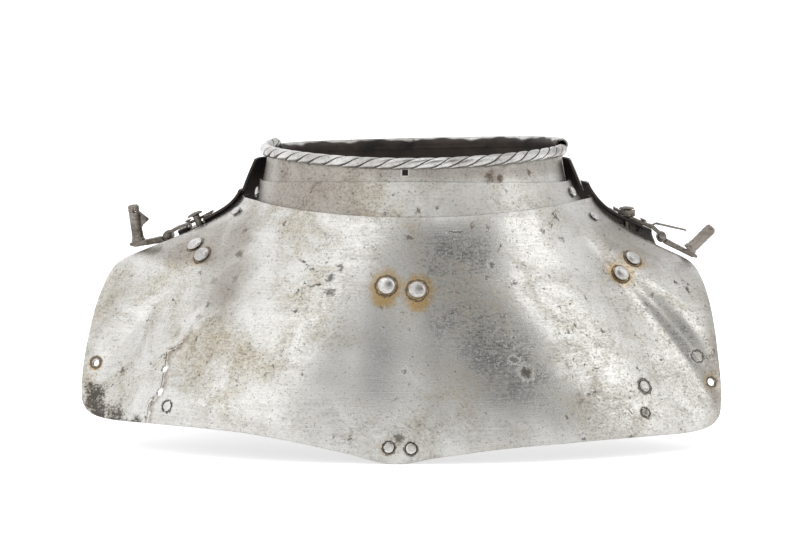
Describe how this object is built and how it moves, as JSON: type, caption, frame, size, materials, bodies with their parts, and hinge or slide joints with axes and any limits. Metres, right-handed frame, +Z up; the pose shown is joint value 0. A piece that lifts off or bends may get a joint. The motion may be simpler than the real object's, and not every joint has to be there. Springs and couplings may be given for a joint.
{
  "type": "gorget",
  "caption": "Steel neck collar armour: front and back shoulder plates, nested neck rings, a roped front rim, rivets, and a pivoted post for a shoulder piece on each side.",
  "frame": {"origin": "middle of the plan outline, at the level of the lowest edges that it stands on", "axes": "+Z up through the neck opening, -Y the wearer's front, +X the right side as the picture shows it, which is the wearer's left"},
  "size_m": [0.3257, 0.256, 0.1531],
  "materials": {
    "plate_steel": "worn, brushed and pitted",
    "ring_steel": "worn and brushed",
    "rivet_steel": "polished by wear, rust in the seams",
    "fitting_steel": "dark, tarnished brown"
  },
  "bodies": {
    "front": {"front_plate": "plate_steel", "dome_left_rear": "rivet_steel", "dome_left_front": "rivet_steel", "dome_right_rear": "rivet_steel", "dome_right_front": "rivet_steel", "dome_middle_left": "rivet_steel", "dome_middle_right": "rivet_steel", "plug_tip_left": "rivet_steel", "plug_tip_right": "rivet_steel", "plug_low_left": "rivet_steel", "plug_low_right": "rivet_steel", "plug_corner_right": "rivet_steel", "ring_rivet_low_left": "rivet_steel", "ring_rivet_low_right": "rivet_steel", "stud_left": "fitting_steel", "pivot_rivet": "fitting_steel"},
    "front_lame": {"front_ring_lower": "ring_steel", "ring_rivet_high_left": "rivet_steel", "ring_rivet_high_right": "rivet_steel"},
    "front_collar": {"front_ring_upper": "ring_steel"},
    "back": {"back_plate": "plate_steel", "back_rivet_low_left": "rivet_steel", "back_rivet_low_right": "rivet_steel", "strap_left": "fitting_steel", "strap_right": "fitting_steel", "strap_rivet_left": "fitting_steel", "strap_rivet_right": "fitting_steel", "hinge_pin_left": "fitting_steel", "hinge_pin_right": "fitting_steel", "spring_strip_right": "fitting_steel", "strip_rivet_right": "fitting_steel"},
    "back_lame": {"back_ring_lower": "ring_steel", "back_rivet_high_left": "rivet_steel", "back_rivet_high_right": "rivet_steel"},
    "back_collar": {"back_ring_upper": "ring_steel"},
    "hasp_left": {"leaf_left": "fitting_steel", "catch_pin_left": "fitting_steel"},
    "hasp_right": {"leaf_right": "fitting_steel"},
    "catch": {"catch_left": "fitting_steel"}
  },
  "joints": [
    {"name": "opening", "type": "hinge", "parent": "front", "child": "back", "pos_m": [0.11575, 0.006, 0.11], "axis": [0, 0, -1], "range_deg": [0, 25]},
    {"name": "front_lame_tilt", "type": "hinge", "parent": "front", "child": "front_lame", "pos_m": [0.0063, -0.02275, 0.115], "axis": [0.9999, -0.0114, -0.0087], "range_deg": [0, 2.5]},
    {"name": "front_collar_tilt", "type": "hinge", "parent": "front_lame", "child": "front_collar", "pos_m": [0.0058, -0.0164, 0.1258], "axis": [0.9991, -0.0419, 0.0062], "range_deg": [0, 2]},
    {"name": "back_lame_tilt", "type": "hinge", "parent": "back", "child": "back_lame", "pos_m": [0.00475, 0.0538, 0.124], "axis": [-1, 0, 0], "range_deg": [0, 2.5]},
    {"name": "back_collar_tilt", "type": "hinge", "parent": "back_lame", "child": "back_collar", "pos_m": [0.00475, 0.061, 0.1365], "axis": [-1, 0, 0], "range_deg": [0, 2]},
    {"name": "hasp_left_fold", "type": "hinge", "parent": "back", "child": "hasp_left", "pos_m": [-0.12465, 0.008, 0.1014], "axis": [0, 1, 0], "range_deg": [0, 90]},
    {"name": "hasp_right_fold", "type": "hinge", "parent": "back", "child": "hasp_right", "pos_m": [0.13395, 0.008, 0.1016], "axis": [0, -1, 0], "range_deg": [0, 90]},
    {"name": "catch_press", "type": "hinge", "parent": "hasp_left", "child": "catch", "pos_m": [-0.14247, 0.008, 0.11442], "axis": [0, 1, 0], "range_deg": [0, 18], "stiffness_Nm_per_rad": 0.01, "springref_deg": -11.46}
  ]
}
